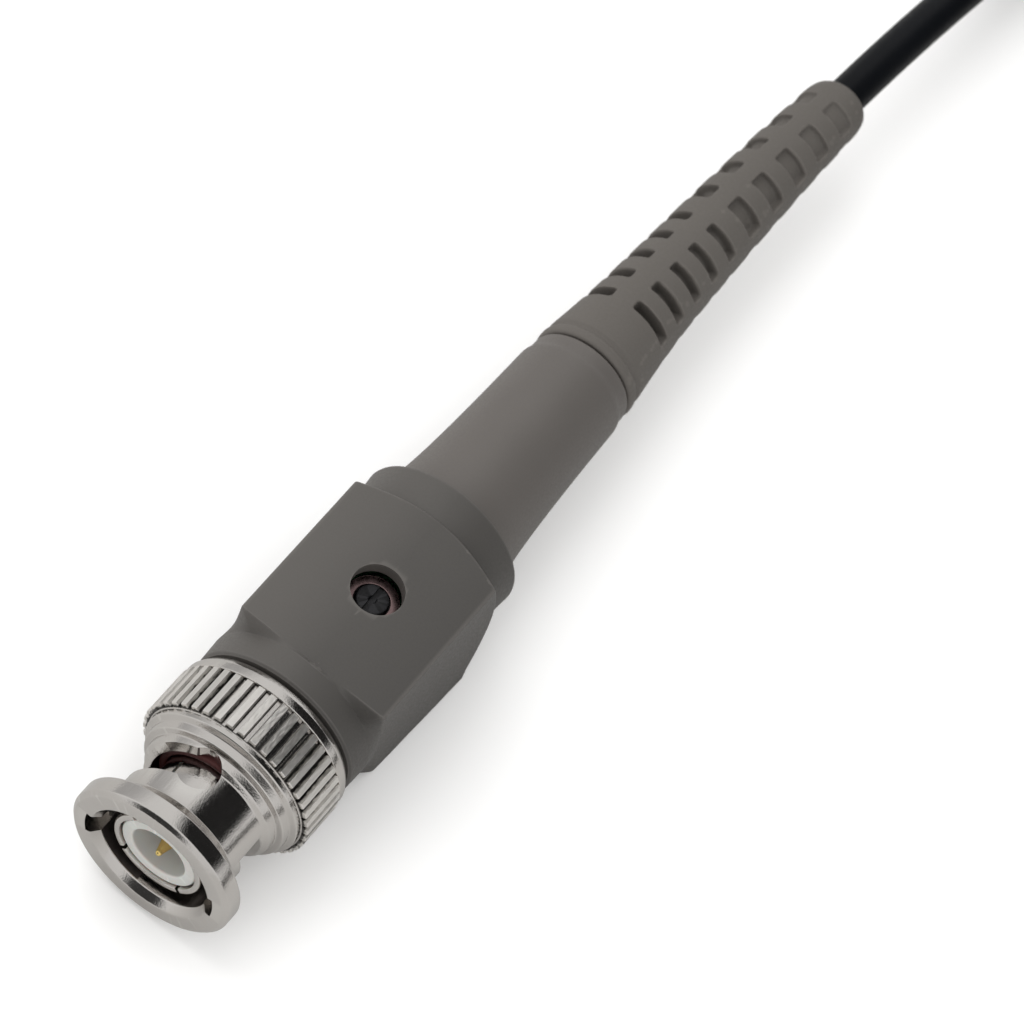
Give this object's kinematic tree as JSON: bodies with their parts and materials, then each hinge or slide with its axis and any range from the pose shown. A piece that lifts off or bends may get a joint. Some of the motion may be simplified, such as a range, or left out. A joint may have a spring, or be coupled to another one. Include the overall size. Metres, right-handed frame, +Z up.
{
  "type": "oscilloscope probe",
  "caption": "Passive test probe: bayonet plug with compensation box and slotted strain relief, coiled cable, switchable head with sprung hook tip and clip-on ground lead.",
  "frame": {"origin": "centre of the flat underside of the compensation box", "axes": "+Y along the plug from its mouth to its cable, +Z up through the adjustment hole, +X towards the probe head"},
  "size_m": [0.1257, 0.2353, 0.0167],
  "materials": {
    "nickel": "bright nickel plate, fine grained",
    "spring_steel": "bright drawn spring steel",
    "silicone": "matt silicone rubber",
    "fluoropolymer": "white fluoropolymer, waxy satin",
    "gold": "gold plated brass",
    "copper": "bare copper alloy",
    "tinned_steel": "tinned steel sheet",
    "box_plastic": "warm dark grey moulded plastic, fine satin grain",
    "neck_plastic": "warm grey moulded plastic, satin",
    "relief_rubber": "soft warm grey rubber, matt",
    "black_plastic": "black moulded plastic, satin",
    "cable_vinyl": "near-black vinyl, satin",
    "laminate": "green circuit laminate",
    "ceramic": "tan ceramic and lacquer"
  },
  "bodies": {
    "probe_frame": {"plug_gasket": "silicone", "plug_body": "nickel", "outer_contact": "nickel", "plug_insulator": "fluoropolymer", "centre_pin": "gold", "spring_washer": "spring_steel", "box_shell": "box_plastic", "shield_can": "tinned_steel", "retaining_nut": "nickel", "circuit_board": "laminate", "trimmer_base": "black_plastic", "trimmer_plate": "copper", "load_resistor": "ceramic", "shaping_capacitor": "ceramic", "neck_sleeve": "neck_plastic", "strain_relief": "relief_rubber", "crimp_ferrule": "nickel", "cable_jacket": "cable_vinyl", "cable_braid": "copper", "cable_dielectric": "fluoropolymer", "cable_core": "copper", "head_barrel": "box_plastic", "head_board": "laminate", "attenuator_resistor": "ceramic", "attenuator_capacitor": "ceramic", "head_strain_relief": "relief_rubber", "nose_cone": "black_plastic", "probe_needle": "gold", "ground_barrel": "nickel"},
    "nut_carrier": {"thrust_washer": "spring_steel"},
    "nut": {"coupling_nut": "nickel"},
    "trimmer": {"trimmer_rotor": "black_plastic"},
    "switch": {"range_switch": "black_plastic", "switch_wiper": "gold"},
    "hook": {"hook_body": "black_plastic", "hook_wire": "nickel", "hook_spring": "spring_steel"},
    "sleeve": {"hook_sleeve": "box_plastic"},
    "lead": {"ground_ring": "nickel", "ground_wire": "cable_vinyl", "clip_boot": "black_plastic", "clip_lower_jaw": "nickel", "clip_pin": "spring_steel", "clip_spring": "spring_steel"},
    "jaw": {"clip_upper_jaw": "nickel"}
  },
  "joints": [
    {"name": "nut_slide", "type": "slide", "parent": "probe_frame", "child": "nut_carrier", "axis": [0, -1, 0], "range_m": [0, 0.0005], "stiffness_N_per_m": 400, "deforming": ["spring_washer"]},
    {"name": "nut_spin", "type": "hinge", "parent": "nut_carrier", "child": "nut", "pos_m": [0, -0.013, 0.007], "axis": [0, 1, 0], "continuous": true},
    {"name": "trimmer_turn", "type": "hinge", "parent": "probe_frame", "child": "trimmer", "pos_m": [0, 0.001, 0.011], "axis": [0, 0, 1], "continuous": true},
    {"name": "range_slide", "type": "slide", "parent": "probe_frame", "child": "switch", "axis": [0, 1, 0], "range_m": [0, 0.0035]},
    {"name": "hook_spin", "type": "hinge", "parent": "probe_frame", "child": "hook", "pos_m": [0.094, -0.017, 0.00725], "axis": [0, 1, 0], "continuous": true},
    {"name": "hook_pull", "type": "slide", "parent": "hook", "child": "sleeve", "axis": [0, 1, 0], "range_m": [0, 0.007], "stiffness_N_per_m": 150, "deforming": ["hook_spring"]},
    {"name": "ground_swivel", "type": "hinge", "parent": "probe_frame", "child": "lead", "pos_m": [0.094, -0.0075, 0.00725], "axis": [0, -1, 0], "range_deg": [0, 110]},
    {"name": "clip_jaw", "type": "hinge", "parent": "lead", "child": "jaw", "pos_m": [0.114, 0.0752, 0.0033], "axis": [1, 0, 0], "range_deg": [0, 18], "stiffness_Nm_per_rad": 0.02, "deforming": ["clip_spring"]}
  ]
}
